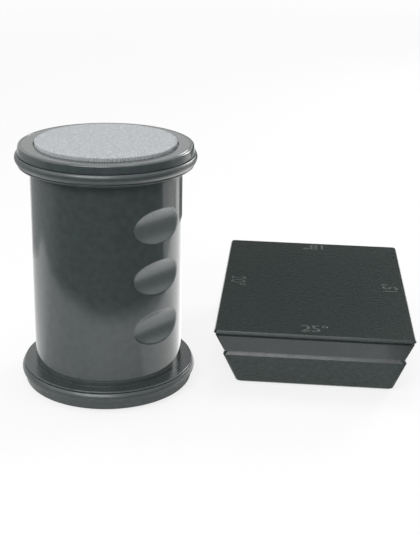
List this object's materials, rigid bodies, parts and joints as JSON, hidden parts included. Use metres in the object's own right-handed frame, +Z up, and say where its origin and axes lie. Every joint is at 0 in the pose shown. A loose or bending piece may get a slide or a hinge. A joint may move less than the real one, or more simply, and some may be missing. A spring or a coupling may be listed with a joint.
{
  "type": "rolling knife sharpener",
  "caption": "Rolling knife sharpener: a grip on ball bearings between two tyred wheels with abrasive and honing plates, with its magnetic multi-angle blade block.",
  "frame": {"origin": "middle of the roller's lower plate face, on the surface that the roller and the block stand on", "axes": "+Z up along the roller's axle, +X from the roller towards the block, -Y towards the block's 25 degree wall"},
  "size_m": [0.1351, 0.1118, 0.085],
  "materials": {
    "handle_plastic": "satin gloss moulded plastic, dark grey green",
    "wheel_plastic": "satin moulded plastic, dark grey green",
    "tyre_rubber": "smooth glossy rubber",
    "block_plastic": "fine grained moulded plastic, green black",
    "foot_rubber": "matt rubber sheet",
    "carrier_plastic": "moulded nylon, black",
    "diamond_grit": "nickel plate with a fine diamond grit",
    "honing_steel": "fine ringed honing steel",
    "bearing_steel": "ground bearing steel",
    "shaft_steel": "turned and zinc plated steel",
    "cage_nylon": "natural nylon",
    "bond_tape": "foam bonding pad",
    "magnet_nickel": "nickel plated bar magnet",
    "ballast_steel": "mild steel, as rolled"
  },
  "bodies": {
    "handle": {"handle_shell": "handle_plastic", "lower_bearing_carrier": "carrier_plastic", "upper_bearing_carrier": "carrier_plastic", "lower_outer_race": "bearing_steel", "upper_outer_race": "bearing_steel"},
    "wheels": {"axle": "shaft_steel", "axle_spacer": "shaft_steel", "honing_plate": "honing_steel", "abrasive_plate": "diamond_grit", "lower_inner_race": "bearing_steel", "lower_hub_spacer": "shaft_steel", "lower_wheel": "wheel_plastic", "lower_tyre": "tyre_rubber", "lower_washer": "shaft_steel", "lower_hub_screw": "shaft_steel", "lower_bond_pad": "bond_tape", "upper_inner_race": "bearing_steel", "upper_hub_spacer": "shaft_steel", "upper_wheel": "wheel_plastic", "upper_tyre": "tyre_rubber", "upper_washer": "shaft_steel", "upper_hub_screw": "shaft_steel", "upper_bond_pad": "bond_tape"},
    "lower_cage": {"lower_ball_cage": "cage_nylon", "lower_ball_1": "bearing_steel", "lower_ball_2": "bearing_steel", "lower_ball_3": "bearing_steel", "lower_ball_4": "bearing_steel", "lower_ball_5": "bearing_steel", "lower_ball_6": "bearing_steel", "lower_ball_7": "bearing_steel"},
    "upper_cage": {"upper_ball_cage": "cage_nylon", "upper_ball_1": "bearing_steel", "upper_ball_2": "bearing_steel", "upper_ball_3": "bearing_steel", "upper_ball_4": "bearing_steel", "upper_ball_5": "bearing_steel", "upper_ball_6": "bearing_steel", "upper_ball_7": "bearing_steel"},
    "angle_block": {"block_cap": "block_plastic", "block_shell": "block_plastic", "block_foot": "foot_rubber", "block_ballast": "ballast_steel", "block_screw_1": "shaft_steel", "block_screw_2": "shaft_steel", "block_screw_3": "shaft_steel", "block_screw_4": "shaft_steel", "front_magnet_1": "magnet_nickel", "front_magnet_2": "magnet_nickel", "front_yoke": "ballast_steel", "back_magnet_1": "magnet_nickel", "back_magnet_2": "magnet_nickel", "back_yoke": "ballast_steel", "left_magnet_1": "magnet_nickel", "left_magnet_2": "magnet_nickel", "left_yoke": "ballast_steel", "right_magnet_1": "magnet_nickel", "right_magnet_2": "magnet_nickel", "right_yoke": "ballast_steel"}
  },
  "joints": [
    {"name": "wheel_spin", "type": "hinge", "parent": "handle", "child": "wheels", "pos_m": [0, 0, 0.0425], "axis": [0, 0, 1], "continuous": true},
    {"name": "lower_cage_spin", "type": "hinge", "parent": "handle", "child": "lower_cage", "pos_m": [0, 0, 0.014], "axis": [0, 0, 1], "continuous": true},
    {"name": "upper_cage_spin", "type": "hinge", "parent": "handle", "child": "upper_cage", "pos_m": [0, 0, 0.071], "axis": [0, 0, 1], "continuous": true},
    {"name": "block_lift", "type": "slide", "parent": "handle", "child": "angle_block", "axis": [0, 0, 1], "range_m": [0, 0.1]}
  ],
  "couplings": [
    {"joint": "lower_cage_spin", "follows": "wheel_spin", "ratio": 0.3677},
    {"joint": "upper_cage_spin", "follows": "wheel_spin", "ratio": 0.3677}
  ]
}
